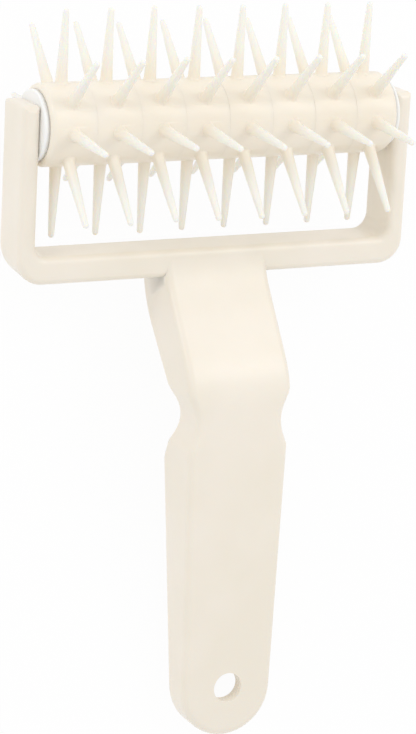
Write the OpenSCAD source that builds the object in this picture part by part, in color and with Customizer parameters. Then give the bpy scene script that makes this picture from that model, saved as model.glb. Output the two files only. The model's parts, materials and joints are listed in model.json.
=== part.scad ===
// Dough docker: a roller of spiked rings, carried in a yoke with a raised, open-backed handle.
// It lies on a table with the front of the handle up. X runs along the roller, Y from the end
// of the handle towards the roller, and Z up from the table. All sizes are in millimetres.

/* [Roller] */
// Width of one spiked ring along the roller
ring_w = 12.65; // [10:0.05:15]
// Radius of a ring's hub
hub_r = 10.9; // [10:0.1:13]
// Radius of the roller over the tips of its spikes
spike_reach = 30.6; // [24:0.1:36]
// Spikes around each ring
spikes_per_ring = 8; // [6:1:10]
// Diameter of a spike where it leaves the hub
spike_root_d = 3.3; // [2.6:0.1:4]
// Diameter of a spike's rounded tip
spike_tip_d = 1.6; // [1:0.1:2.4]
// Height and spread of the flare at a spike's root
spike_flare = 0.5; // [0.3:0.1:1]
// Rounding of the two outer ends of the roller
roller_end_r = 1.4; // [0.5:0.1:3]
// Rounding of a ring's edge where two rings meet
seam_r = 0.15; // [0.1:0.05:0.6]
// Turn of the roller at rest, from the plane of the frame towards the front
roller_turn = 4; // [0:0.5:45]

/* [Core and end plugs] */
// Outer diameter of the core tube
core_d = 15; // [13:0.1:16]
// Wall of the core tube
core_wall = 2; // [1.2:0.1:2.5]
// Width of the key along the core tube
key_w = 2.4; // [1.6:0.1:3]
// Height of the key above the core tube
key_h = 1.2; // [0.8:0.1:1.4]
// Play on each side of the key in a ring
key_play = 0.25; // [0.2:0.05:0.4]
// Gap all round between the core tube and a ring
ring_fit = 0.05; // [0.02:0.01:0.15]
// Radius of an end plug's flange
flange_r = 9.4; // [8.5:0.1:9.8]
// Thickness of an end plug's flange
flange_t = 1.2; // [0.8:0.1:2]
// Rounding of a flange's rim towards the arm
flange_edge_r = 0.4; // [0.1:0.1:0.6]
// Length of an end plug's spigot inside the core tube
spigot_l = 12; // [6:0.5:20]
// Wall of an end plug's spigot
spigot_wall = 1.6; // [1:0.1:2.2]
// Gap all round between a spigot and the core tube
spigot_fit = 0.02; // [0.01:0.01:0.08]
// Diameter of the journal that turns in an arm
journal_d = 6; // [4:0.1:8]
// Length of the journal
journal_l = 3; // [2:0.1:3.4]
// Gap all round between a journal and its socket
journal_fit = 0.06; // [0.02:0.01:0.1]
// Gap between a flange and an arm
side_gap = 0.3; // [0.1:0.05:0.6]

/* [Yoke] */
// Thickness of an arm
arm_t = 4.9; // [4.6:0.1:7]
// Depth of the arms and the crossbar, from front to back
yoke_d = 14.4; // [11:0.1:18]
// Height of an arm beyond the axis of the roller
arm_rise = 6.3; // [5.5:0.1:10]
// Height of the crossbar
bar_h = 7.45; // [5:0.05:10]
// Gap between the spikes and the crossbar
bar_gap = 3.05; // [1.5:0.05:6]
// Radius of the yoke's outer corners at its front
corner_out_r = 6.8; // [4:0.1:12]
// Radius of the yoke's outer corners at its back
corner_out_back_r = 9.6; // [4:0.1:12]
// Radius of the yoke's inner corners at its front
corner_in_r = 2.8; // [1:0.1:8]
// Radius of the yoke's inner corners at its back
corner_in_back_r = 4.5; // [1:0.1:8]
// Rounding of the yoke's long edges
yoke_edge_r = 2; // [0.8:0.1:2.1]
// Radius of an arm's corners at its tip
arm_tip_r = 0.9; // [0.3:0.1:1.5]

/* [Handle] */
// Length from the axis of the roller to the end of the handle
handle_l = 165; // [140:0.1:200]
// Width of the neck
neck_w = 30.1; // [26:0.1:34]
// Slope of the neck's front
neck_front_slope = 35.5; // [25:0.5:42]
// Slope of the neck's back
neck_back_slope = 41.5; // [35:0.5:48]
// Height of the grip's front above the axis of the roller
grip_rise = 26.4; // [20:0.1:30]
// Further rise of the grip's front at the end of the handle
end_rise = 0.9; // [0:0.1:3]
// Width of the grip at its round end
end_w = 26.3; // [22:0.1:30]
// Depth of the grip behind the finger notch
grip_d = 16.1; // [12:0.1:18]
// Depth of the grip at its end
end_d = 8.3; // [6:0.1:10]
// Depth of the finger notch in each side
notch_side = 2.2; // [0:0.05:4]
// Depth of the finger notch in the back
notch_back = 6.1; // [0:0.1:7]
// Distance from the neck's bend to the middle of the notch
notch_from_bend = 10.2; // [8:0.1:14]
// Rounding of the handle's front edges
grip_edge_r = 2; // [0.8:0.1:2.4]
// Thickness of the handle's front
plate_t = 3.5; // [2.5:0.1:5]
// Thickness of the handle's side walls
wall_t = 2.6; // [1.8:0.1:4]
// Cross ribs inside the handle
rib_count = 5; // [0:1:7]
// Thickness of a cross rib
rib_t = 2; // [1:0.1:3]
// Depth of the ribs below the handle's back edges
rib_drop = 1.2; // [0.5:0.1:3]
// Diameter of the hanging hole
hang_hole_d = 8.2; // [5:0.1:12]
// Distance from the middle of the hanging hole to the end of the handle
hang_hole_from_end = 14; // [10:0.1:20]

/* [Hidden] */
$fn = 64;
eps = 0.01;

ring_count = 8;
// Turn of each ring within the play of its key
ring_turns = [0, 0, -1.3, 0, 0.4, 0, 0.4, 0.8];
roller_l = ring_count * ring_w;
inner_w = roller_l + 2 * (flange_t + side_gap);
yoke_w = inner_w + 2 * arm_t;
tip_r = spike_tip_d / 2;
tip_centre = spike_reach - tip_r;

// The crossbar's two faces, as distances from the roller's axis towards the handle
bar_near = spike_reach + bar_gap;
bar_far = bar_near + bar_h;
bar_face = yoke_d / 2;

// The neck's front starts just inside the crossbar's and comes out of it above its lower edge.
// Its back leaves the crossbar a neck's depth further down. The two lines end at the bend and
// in the notch.
neck_lap = 1.7;
neck_start = bar_far - neck_lap;
neck_end = neck_start + (grip_rise - bar_face) / tan(neck_front_slope);
neck_sunk = 0.3;
neck_inset = 0.6;
back_lead = 7.05;
back_start = bar_far + back_lead;
front_blend_top = 4.5;
front_blend_bend = 4.2;
back_blend_top = 7.3;
back_blend_bend = 0.9;
// The hollows in the sides are short. The one in the back starts where the neck's back meets
// it, is deepest a little nearer to the roller, and runs out further down the grip.
notch_s = neck_end + notch_from_bend;
notch_side_half = 7.4;
notch_side_power = 1.2;
notch_back_lead = 2.3;
notch_back_s = notch_s - notch_back_lead;
notch_back_before = 40;
notch_back_after = 15.4;
notch_back_power = 1.4;
notch_end = notch_back_s + notch_back_after;
end_r = end_w / 2;
end_centre = handle_l - end_r;
hang_hole_s = handle_l - hang_hole_from_end;
back_edge_r = 0.7;

// The handle starts inside the crossbar, and its channel and ribs below it
neck_top = bar_near + 0.15;
channel_top = bar_far + 3.2;
channel_corner = 1;
channel_past = 2;
rib_first = channel_top + 14;
rib_last = hang_hole_s - hang_hole_d / 2 - 10;

// How a spike is sunk in its hub, and how its flare fades out along it
spike_sink = 1.5;
flare_fade = 0.04;
cut_past = 1;

// Steps of the rounded edges, corners and lengths of the skins
yoke_edge_steps = 5;
tip_steps = 3;
least_tip_r = 0.1;
corner_steps = 9;
front_edge_steps = 4;
back_edge_steps = 2;
end_steps = 12;
neck_step = 1.4;
grip_steps = 5;

function lerp(a, b, t) = a + (b - a) * t;
// The larger or smaller of two values, rounded where they meet
function blend_max(a, b, k) = max(a, b) + pow(max(k - abs(a - b), 0), 2) / (4 * k);
function blend_min(a, b, k) = min(a, b) - pow(max(k - abs(a - b), 0), 2) / (4 * k);
// A hollow, 1 at its deepest and 0 at its two ends
function hollow(s, middle, before, after, power) =
    let (x = (s - middle) / (s < middle ? before : after)) pow(max(1 - x * x, 0), power);

// Front of the handle at the distance s from the roller's axis
function grip_front(s) = grip_rise + end_rise * (s - neck_end) / (handle_l - neck_end);
function front(s) =
    let (neck = bar_face + tan(neck_front_slope) * (s - neck_start))
    blend_max(bar_face - neck_sunk, blend_min(neck, grip_front(s), front_blend_bend), front_blend_top);

// Back edges of the handle
function grip_back(s) =
    let (t = (s - notch_end) / (handle_l - notch_end))
    grip_front(s) - lerp(grip_d, end_d, t) + notch_back
        * hollow(s, notch_back_s, notch_back_before, notch_back_after, notch_back_power);
function back(s) =
    let (level = neck_inset - bar_face, neck = level + tan(neck_back_slope) * (s - back_start))
    blend_max(level, blend_min(neck, grip_back(s), back_blend_bend), back_blend_top);

// Half the width of the handle
function half_w(s) =
    lerp(neck_w / 2, end_r, max(s - neck_end, 0) / (end_centre - neck_end))
    - notch_side * hollow(s, notch_s, notch_side_half, notch_side_half, notch_side_power);

// How far the roller's spikes reach in a direction square to its axis
function reach(angle) = max([for (turn = ring_turns, k = [0 : spikes_per_ring - 1])
    tip_centre * cos(roller_turn + turn + k * 360 / spikes_per_ring - angle)]) + tip_r;

// The docker rests on its lowest spikes and on the back of its handle's end, so it is tilted.
contact_s = handle_l - back_edge_r;
contact_z = back(handle_l) + back_edge_r;
contact_arm = norm([contact_s, contact_z]);
function rest_tilt(tilt, steps) = steps == 0 ? tilt :
    rest_tilt(atan(contact_z / contact_s)
        + asin((reach(-90 - tilt) - back_edge_r) / contact_arm), steps - 1);
tilt = rest_tilt(17, 12);
axis_z = reach(-90 - tilt);
reach_far = reach(-tilt);
reach_end = (handle_l - grip_edge_r) * cos(tilt)
    + (front(handle_l) - grip_edge_r) * sin(tilt) + grip_edge_r;
axis_y = (reach_end - reach_far) / 2;

// Puts a piece made about the roller's axis, with its front up, into its place on the table
module on_table() {
    translate([0, axis_y, axis_z]) rotate([tilt, 0, 0]) children();
}

// Puts a piece of the roller, made along X, at the roller's turn
module on_roller(turn = 0) {
    on_table() rotate([roller_turn + turn, 0, 0]) children();
}

// Closed skin over rings of points. The first half of each ring runs down one side of the
// piece and the second half back up the other, so strips between them close the two ends.
module skin(rings) {
    n = len(rings[0]);
    last = n * (len(rings) - 1);
    points = [for (ring = rings) each ring];
    sides = [for (j = [0 : len(rings) - 2], i = [0 : n - 1])
        let (a = j * n + i, b = j * n + (i + 1) % n)
        each [[a, b, b + n], [a, b + n, a + n]]];
    first_cap = [for (i = [0 : n / 2 - 2])
        each [[i, n - 2 - i, i + 1], [i, n - 1 - i, n - 2 - i]]];
    last_cap = [for (face = first_cap) [face[0] + last, face[2] + last, face[1] + last]];
    polyhedron(points = points, faces = concat(sides, first_cap, last_cap), convexity = 6);
}

function flipped(path) = [for (i = [len(path) - 1 : -1 : 0]) path[i]];
function mirrored(path) = [for (p = path) [-p[0], p[1]]];
function arc(centre, r, from, to, steps) =
    [for (i = [0 : steps]) centre + r * [cos(lerp(from, to, i / steps)), sin(lerp(from, to, i / steps))]];

// An anticlockwise outline moved inwards by a distance
function inset(outline, distance) =
    let (n = len(outline))
    [for (i = [0 : n - 1])
        let (t = outline[(i + 1) % n] - outline[(i + n - 1) % n], u = t / norm(t))
        outline[i] - distance * [u[1], -u[0]]];

// The yoke's outline, moved inwards by a distance, at a height between its front and its back:
// the outer side, then back along the inner side
function yoke_outline(in, z) =
    let (t = (bar_face - z) / yoke_d, x = -yoke_w / 2 + in, inner_x = -inner_w / 2 - in,
        near = -bar_near - in, far = -bar_far + in,
        out_r = lerp(corner_out_r, corner_out_back_r, t) - in,
        in_r = lerp(corner_in_r, corner_in_back_r, t) + in,
        tip_r = max(arm_tip_r - in, least_tip_r), tip = arm_rise - in - tip_r,
        outer = concat(
            arc([x + tip_r, tip], tip_r, 90, 180, tip_steps),
            arc([x + out_r, far + out_r], out_r, 180, 270, corner_steps)),
        inner = concat(
            arc([inner_x - tip_r, tip], tip_r, 90, 0, tip_steps),
            arc([inner_x + in_r, near + in_r], in_r, 180, 270, corner_steps)))
    concat(outer, mirrored(flipped(outer)), mirrored(inner), flipped(inner));

module yoke() {
    edge = [for (i = [0 : yoke_edge_steps]) let (a = 90 * i / yoke_edge_steps)
        [yoke_edge_r * (1 - sin(a)), bar_face - yoke_edge_r * (1 - cos(a))]];
    levels = concat(edge, [for (e = flipped(edge)) [e[0], -e[1]]]);
    skin([for (level = levels) [for (p = yoke_outline(level[0], level[1])) [p[0], p[1], level[1]]]]);
}

// The handle's outline with its sides moved in by a wall, from the distance s0 to its end
function handle_outline(s0, wall) =
    let (neck_n = ceil((notch_end - s0) / neck_step),
        neck = [for (i = [0 : neck_n - 1]) lerp(s0, notch_end, i / neck_n)],
        grip = [for (i = [0 : grip_steps - 1]) lerp(notch_end, end_centre, i / grip_steps)],
        side = concat([for (s = concat(neck, grip)) [-(half_w(s) - wall), -s]],
            arc([0, -end_centre], end_r - wall, 180, 270 - 90 / (2 * end_steps + 1), end_steps)))
    concat(side, mirrored(flipped(side)));

module handle_body() {
    outline = handle_outline(neck_top, 0);
    front_rings = [for (i = [0 : front_edge_steps])
        let (a = 90 * i / front_edge_steps, in = grip_edge_r * (1 - sin(a)))
        [for (p = inset(outline, in)) [p[0], p[1], front(-p[1]) - grip_edge_r * (1 - cos(a))]]];
    back_rings = [for (i = [0 : back_edge_steps])
        let (a = 90 * i / back_edge_steps, in = back_edge_r * (1 - cos(a)))
        [for (p = inset(outline, in)) [p[0], p[1], back(-p[1]) + back_edge_r * (1 - sin(a))]]];
    skin(concat(front_rings, back_rings));
}

// Height of the channel's floor, a plate's thickness behind the front
function channel_floor(s) =
    let (slope = (front(s + eps) - front(s)) / eps) front(s) - plate_t * norm([1, slope]);

module channel() {
    outline = handle_outline(channel_top, wall_t);
    floor_ring = [for (p = inset(outline, channel_corner)) [p[0], p[1], channel_floor(-p[1])]];
    wall_ring = [for (p = outline) [p[0], p[1], channel_floor(-p[1]) - channel_corner]];
    open_ring = [for (p = outline) [p[0], p[1], back(-p[1]) - channel_past]];
    difference() {
        skin([floor_ring, wall_ring, open_ring]);
        for (i = [0 : 1 : rib_count - 1]) rib(lerp(rib_first, rib_last, i / max(rib_count - 1, 1)));
    }
}

// The part of the channel that a cross rib fills
module rib(s) {
    edge = back(s) + rib_drop;
    translate([-neck_w / 2, -s - rib_t / 2, edge]) cube([neck_w, rib_t, front(s) - edge]);
}

module frame() {
    color("#f2ebdc") on_table() difference() {
        union() {
            yoke();
            difference() {
                handle_body();
                channel();
            }
        }
        translate([0, -hang_hole_s, 0]) cylinder(d = hang_hole_d, h = 2 * grip_rise);
        for (side = [-1, 1]) journal_socket(side);
    }
}

// Blind hole in an arm's inner face, deeper than the journal by the roller's end float
module journal_socket(side) {
    depth = journal_l + side_gap;
    translate([side * (inner_w / 2 + depth / 2 - eps), 0, 0]) rotate([0, 90, 0])
        cylinder(d = journal_d + 2 * journal_fit, h = depth, center = true);
}

module core_tube() {
    color("#efe8d8") on_roller() difference() {
        union() {
            rotate([0, 90, 0]) cylinder(d = core_d, h = roller_l, center = true);
            translate([-roller_l / 2, 0, -key_w / 2]) cube([roller_l, core_d / 2 + key_h, key_w]);
        }
        rotate([0, 90, 0]) cylinder(d = core_d - 2 * core_wall, h = roller_l + 2 * cut_past, center = true);
    }
}

// Half of a flange's profile, with its outer rim rounded
module flange_half() {
    square([flange_r - flange_edge_r, flange_t]);
    square([flange_r, flange_t - flange_edge_r]);
    translate([flange_r - flange_edge_r, flange_t - flange_edge_r]) circle(r = flange_edge_r, $fn = 32);
}

// A plug closes one end of the core tube: its flange stops the rings and its journal turns
// in the arm.
module end_plug(side) {
    spigot_r = core_d / 2 - core_wall - spigot_fit;
    color("#fbfbf8") on_roller() translate([side * roller_l / 2, 0, 0]) rotate([0, side * 90, 0])
        difference() {
            union() {
                translate([0, 0, -spigot_l]) cylinder(r = spigot_r, h = spigot_l + flange_t / 2);
                rotate_extrude() flange_half();
                cylinder(d = journal_d, h = flange_t + journal_l);
            }
            translate([0, 0, -spigot_l - cut_past])
                cylinder(r = spigot_r - spigot_wall, h = spigot_l + cut_past);
        }
}

module end_plug_left() end_plug(-1);
module end_plug_right() end_plug(1);

// Half of a hub's profile, with its outer edge rounded
module hub_half(edge_r) {
    square([hub_r - edge_r, ring_w / 2]);
    square([hub_r, ring_w / 2 - edge_r]);
    translate([hub_r - edge_r, ring_w / 2 - edge_r]) circle(r = edge_r, $fn = 32);
}

// One tapered spike, standing on the roller's axis
module spike() {
    root_r = spike_root_d / 2;
    foot = sqrt(pow(hub_r, 2) - pow(root_r + spike_flare, 2));
    translate([0, 0, hub_r - spike_sink]) cylinder(r = root_r, h = spike_sink + eps, $fn = 32);
    translate([0, 0, hub_r]) cylinder(r1 = root_r, r2 = tip_r, h = tip_centre - hub_r, $fn = 32);
    translate([0, 0, tip_centre]) sphere(r = tip_r, $fn = 32);
    translate([0, 0, foot]) cylinder(r1 = root_r + spike_flare, r2 = root_r + spike_flare / 3,
        h = hub_r - foot + spike_flare / 4, $fn = 32);
    translate([0, 0, hub_r + spike_flare / 4]) cylinder(r1 = root_r + spike_flare / 3,
        r2 = root_r - flare_fade, h = spike_flare, $fn = 32);
}

module ring(i) {
    left_r = i == 1 ? roller_end_r : seam_r;
    right_r = i == ring_count ? roller_end_r : seam_r;
    slot_w = key_w + 2 * key_play;
    color("#f3ebda") on_roller(ring_turns[i - 1]) translate([(i - 0.5) * ring_w - roller_l / 2, 0, 0])
        difference() {
            union() {
                rotate([0, 90, 0]) rotate_extrude() hub_half(right_r);
                rotate([0, -90, 0]) rotate_extrude() hub_half(left_r);
                for (k = [0 : spikes_per_ring - 1])
                    rotate([k * 360 / spikes_per_ring - 90, 0, 0]) spike();
            }
            rotate([0, 90, 0]) cylinder(d = core_d + 2 * ring_fit, h = ring_w + 2 * cut_past, center = true);
            translate([-ring_w / 2 - cut_past, 0, -slot_w / 2])
                cube([ring_w + 2 * cut_past, core_d / 2 + key_h + key_play, slot_w]);
        }
}

frame();
core_tube();
end_plug_left();
end_plug_right();
for (i = [1 : ring_count]) ring(i);
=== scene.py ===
# A dough docker of ivory moulded plastic, lying on a pale floor with the front of its handle up:
# eight spiked rings on a hidden core turn between the arms of a yoke, and the yoke's neck rises
# to an open-backed grip with three finger notches and a hanging hole.
import json
import math

import bmesh
import bpy
from mathutils import Matrix, Vector


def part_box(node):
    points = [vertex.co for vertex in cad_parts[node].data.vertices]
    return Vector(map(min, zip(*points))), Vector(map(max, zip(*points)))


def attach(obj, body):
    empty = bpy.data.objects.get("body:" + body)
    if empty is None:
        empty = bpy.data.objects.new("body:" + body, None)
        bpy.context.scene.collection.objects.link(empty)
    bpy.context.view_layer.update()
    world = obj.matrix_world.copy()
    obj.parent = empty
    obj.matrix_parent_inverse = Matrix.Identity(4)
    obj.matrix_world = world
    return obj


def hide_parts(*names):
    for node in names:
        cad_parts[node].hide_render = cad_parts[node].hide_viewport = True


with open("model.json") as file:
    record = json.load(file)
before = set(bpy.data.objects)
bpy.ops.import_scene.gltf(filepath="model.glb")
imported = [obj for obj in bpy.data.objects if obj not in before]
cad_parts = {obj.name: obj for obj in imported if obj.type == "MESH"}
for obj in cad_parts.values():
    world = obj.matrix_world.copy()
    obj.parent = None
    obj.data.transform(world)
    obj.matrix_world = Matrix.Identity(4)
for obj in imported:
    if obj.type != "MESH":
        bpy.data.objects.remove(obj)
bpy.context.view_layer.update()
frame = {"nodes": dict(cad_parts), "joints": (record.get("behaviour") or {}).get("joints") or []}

# Camera
# The photograph looks down on the docker from its left, with the roller at the top of the frame.
# A long lens, about 0.8 m away, keeps the two arms nearly alike.
eye = Vector((-0.3598, 0.0078, 0.7540))
aim = Vector((-0.0057, 0.0026, 0.0266))
picture_up = Vector((0.0723, 0.9970, 0.0280))
back = (eye - aim).normalized()
right = picture_up.cross(back).normalized()
turn = Matrix((right, back.cross(right), back)).transposed().to_4x4()
camera_data = bpy.data.cameras.new("camera")
camera_data.sensor_fit = "VERTICAL"
camera_data.sensor_height = 36
camera_data.lens = 149.9
camera = bpy.data.objects.new("camera", camera_data)
camera.matrix_world = Matrix.Translation(eye) @ turn
bpy.context.scene.collection.objects.link(camera)
bpy.context.scene.camera = camera
bpy.context.scene.view_settings.view_transform = "Standard"

# Frame
# Yoke, neck and grip are one injection moulding of ivory polypropylene: a satin skin that glows a
# little where it is thin, with the faint waviness that the mould's surface leaves. Its copy here
# is welded, so that the rounded edges shade smoothly, and its large faces keep their direction.


def linear(hex_colour):
    """An sRGB hex value as a linear colour with alpha."""
    channels = [int(hex_colour[i : i + 2], 16) / 255 for i in (1, 3, 5)]
    return [c / 12.92 if c <= 0.04045 else ((c + 0.055) / 1.055) ** 2.4 for c in channels] + [1]


def wire(tree, node, inputs):
    """Link or set a node's inputs, by their names or numbers."""
    for key, value in inputs.items():
        if isinstance(value, bpy.types.NodeSocket):
            tree.links.new(value, node.inputs[key])
        else:
            node.inputs[key].default_value = value


def add(tree, kind, inputs, **settings):
    """A new node with its settings and its inputs."""
    node = tree.nodes.new(kind)
    for name, value in settings.items():
        setattr(node, name, value)
    wire(tree, node, inputs)
    return node


def moulded_plastic(name, colour, shade, roughness, glow):
    """Moulded plastic of one colour, mottled towards a shade, with a worn satin skin."""
    material = bpy.data.materials.new(name)
    material.use_nodes = True
    tree = material.node_tree
    place = add(tree, "ShaderNodeTexCoord", {}).outputs["Object"]

    # The melt's flow tints it in patches of about 22 mm, 45 to a metre. A mix node's colours are
    # its inputs 6 and 7 and its output 2.
    patches = 45
    mottle = add(tree, "ShaderNodeTexNoise", {"Vector": place, "Scale": patches, "Detail": 3})
    tone = add(
        tree, "ShaderNodeMapRange",
        {"Value": mottle.outputs["Fac"], "From Min": 0.35, "From Max": 0.65},
    )
    tint = add(
        tree, "ShaderNodeMix",
        {"Factor": tone.outputs["Result"], 6: linear(colour), 7: linear(shade)},
        data_type="RGBA",
    )

    # The skin's waviness is drawn 1.1 mm across, 900 ripples to a metre, coarser than the real
    # one, so that it shows.
    ripples = 900
    uneven = 0.02
    skin = add(tree, "ShaderNodeTexNoise", {"Vector": place, "Scale": ripples, "Detail": 2})
    rough = add(
        tree, "ShaderNodeMapRange",
        {
            "Value": skin.outputs["Fac"], "From Min": 0.3, "From Max": 0.7,
            "To Min": roughness - uneven, "To Max": roughness + uneven,
        },
    )
    relief = add(
        tree, "ShaderNodeBump",
        {"Height": skin.outputs["Fac"], "Strength": 0.06, "Distance": 0.00005},
    )
    wire(tree, tree.nodes["Principled BSDF"], {
        "Base Color": tint.outputs[2],
        "Roughness": rough.outputs["Result"],
        "Normal": relief.outputs["Normal"],
        "IOR": 1.49,
        "Subsurface Weight": glow,
        "Subsurface Radius": (1.0, 0.75, 0.5),
        "Subsurface Scale": 0.0015,
    })
    return material


def welded(name, node, material, body):
    """A smooth-shaded copy of a CAD node, with its loose triangles merged."""
    mesh = frame["nodes"][node].data.copy()
    mesh.name = name
    form = bmesh.new()
    form.from_mesh(mesh)
    bmesh.ops.remove_doubles(form, verts=form.verts, dist=0.000002)
    form.to_mesh(mesh)
    form.free()
    piece = bpy.data.objects.new(name, mesh)
    bpy.context.scene.collection.objects.link(piece)
    mesh.materials.clear()
    mesh.materials.append(material)
    mesh.shade_smooth()
    mesh.set_sharp_from_angle(angle=math.radians(32))
    normals = piece.modifiers.new("faces_first", "WEIGHTED_NORMAL")
    normals.keep_sharp = True
    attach(piece, body)
    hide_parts(node)
    return piece


ivory = moulded_plastic(
    "moulded_polypropylene_ivory", "#f4ecdf", "#f1e9da", roughness=0.32, glow=0.1
)
welded("moulded_frame", "frame", ivory, "handle_frame")

# Roller rings
# Eight polypropylene rings, each moulded with eight tapered spikes, sit side by side on the core,
# turned a little against each other in the play of its key. The thinner a spike gets towards its
# tip, the more light passes through it: its subsurface glow really rises there, and its colour is
# also painted paler towards the tip, a painted glow of that light. The roller's axis is its joint's,
# to a hundredth of a millimetre.
axis = Vector([round(place, 5) for place in frame["joints"][0]["pos_m"]])
hub_radius = 0.0109
clear_radius = 0.02
hub_glow = 0.1
spike_glow = 0.7
ring_ivory = moulded_plastic(
    "moulded_polypropylene_spiked", "#f8efe0", "#f5ebda", roughness=0.32, glow=hub_glow
)
ring_tree = ring_ivory.node_tree
ring_shader = ring_tree.nodes["Principled BSDF"]
ring_tint = ring_shader.inputs["Base Color"].links[0].from_socket
ring_place = add(ring_tree, "ShaderNodeTexCoord", {}).outputs["Object"]
from_axis = add(ring_tree, "ShaderNodeVectorMath", {0: ring_place, 1: axis}, operation="SUBTRACT")
across = add(
    ring_tree, "ShaderNodeVectorMath",
    {0: from_axis.outputs[0], 1: (0, 1, 1)},
    operation="MULTIPLY",
)
reach = add(ring_tree, "ShaderNodeVectorMath", {0: across.outputs[0]}, operation="LENGTH")
thin = add(
    ring_tree, "ShaderNodeMapRange",
    {"Value": reach.outputs["Value"], "From Min": hub_radius, "From Max": clear_radius},
)
# Painted light: the colour turns paler towards the spike tips, painted glow standing in for light
# shining through the thin spikes.
painted_tip_glow = add(
    ring_tree, "ShaderNodeMix",
    {"Factor": thin.outputs["Result"], 6: ring_tint, 7: linear("#f0eee7")},
    data_type="RGBA",
)
clear = add(
    ring_tree, "ShaderNodeMapRange",
    {"Value": thin.outputs["Result"], "To Min": hub_glow, "To Max": spike_glow},
)
wire(ring_tree, ring_shader, {
    "Base Color": painted_tip_glow.outputs[2],
    "Subsurface Weight": clear.outputs["Result"],
    "Subsurface Scale": 0.003,
})

# Pressed tight, the rings meet in a hairline: the rounding at each seam, 0.15 mm deep in the
# solids, keeps a quarter of its depth.
ring_count = 8
seam_reach = 0.00016
seam_floor = 0.0107
seam_rim = 0.01095
seam_fill = 0.75
seams = [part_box(f"ring_{i + 1}")[1][0] for i in range(ring_count - 1)]
for i in range(ring_count):
    ring = welded(f"spiked_ring_{i + 1}", f"ring_{i + 1}", ring_ivory, "roller")
    for vertex in ring.data.vertices:
        arm = Vector((0, vertex.co.y - axis.y, vertex.co.z - axis.z))
        at_seam = min(abs(vertex.co.x - seam) for seam in seams) < seam_reach
        if at_seam and seam_floor < arm.length < seam_rim:
            vertex.co += arm * ((hub_radius - arm.length) * seam_fill / arm.length)

# Core and end plugs
# A tube with a key carries the rings, and a plug of whiter acetal closes each of its ends and
# turns in the arm. The plugs' flanges stand 0.26 mm further out here, nearly on the arms, as the
# photographed one does.
flange_inside = 0.05139
flange_outside = 0.05181
flange_shift = 0.00026
plug_white = moulded_plastic(
    "moulded_acetal_white", "#fafaf8", "#f6f6f4", roughness=0.5, glow=0.1
)
welded("keyed_core", "core_tube", ivory, "roller")
for side in ("left", "right"):
    plug = welded(f"white_plug_{side}", f"end_plug_{side}", plug_white, "roller")
    for vertex in plug.data.vertices:
        if flange_inside < abs(vertex.co.x) < flange_outside:
            vertex.co.x += math.copysign(flange_shift, vertex.co.x)

# Floor
# A wide pale sheet that the docker lies on. The camera and the gloss see it almost white, with a
# twentieth left to take the shadow, and the docker is lit by it as by brightly lit paper.
floor_mesh = bpy.data.meshes.new("floor")
floor_form = bmesh.new()
bmesh.ops.create_grid(floor_form, x_segments=1, y_segments=1, size=3)
floor_form.to_mesh(floor_mesh)
floor_form.free()
floor = bpy.data.objects.new("floor", floor_mesh)
bpy.context.scene.collection.objects.link(floor)
floor_white = bpy.data.materials.new("floor_white")
floor_white.use_nodes = True
floor_tree = floor_white.node_tree
floor_tree.nodes.remove(floor_tree.nodes["Principled BSDF"])
paper = add(floor_tree, "ShaderNodeBsdfDiffuse", {"Color": linear("#f4f4f4")})
bright = add(floor_tree, "ShaderNodeEmission", {"Color": linear("#ffffff"), "Strength": 1})
ray = add(floor_tree, "ShaderNodeLightPath", {}).outputs
seen = add(
    floor_tree, "ShaderNodeMath",
    {0: ray["Is Camera Ray"], 1: ray["Is Glossy Ray"]},
    operation="MAXIMUM",
)
share = add(floor_tree, "ShaderNodeMapRange", {"Value": seen.outputs[0], "To Min": 0.5, "To Max": 0.95})
mix = add(
    floor_tree, "ShaderNodeMixShader",
    {0: share.outputs[0], 1: paper.outputs[0], 2: bright.outputs[0]},
)
wire(floor_tree, floor_tree.nodes["Material Output"], {"Surface": mix.outputs[0]})
floor_mesh.materials.append(floor_white)

# Light
# Two soft lamps from above, the stronger one on the roller's left, and an even white sky.


def softbox(name, place, size, power):
    """A square soft lamp that faces the docker."""
    docker = Vector((0, 0, 0.02))
    lamp = bpy.data.lights.new(name, "AREA")
    lamp.shape = "SQUARE"
    lamp.size = size
    lamp.energy = power
    holder = bpy.data.objects.new(name, lamp)
    holder.location = place
    holder.rotation_euler = (docker - Vector(place)).to_track_quat("-Z", "Y").to_euler()
    bpy.context.scene.collection.objects.link(holder)


softbox("key", (-0.62, 0.52, 0.44), size=0.2, power=0.8)
softbox("fill", (0.3, 0.24, 0.5), size=0.25, power=0.52)
world = bpy.data.worlds.new("studio")
world.use_nodes = True
sky = world.node_tree.nodes["Background"]
wire(world.node_tree, sky, {"Color": linear("#ffffff"), "Strength": 0.87})
bpy.context.scene.world = world
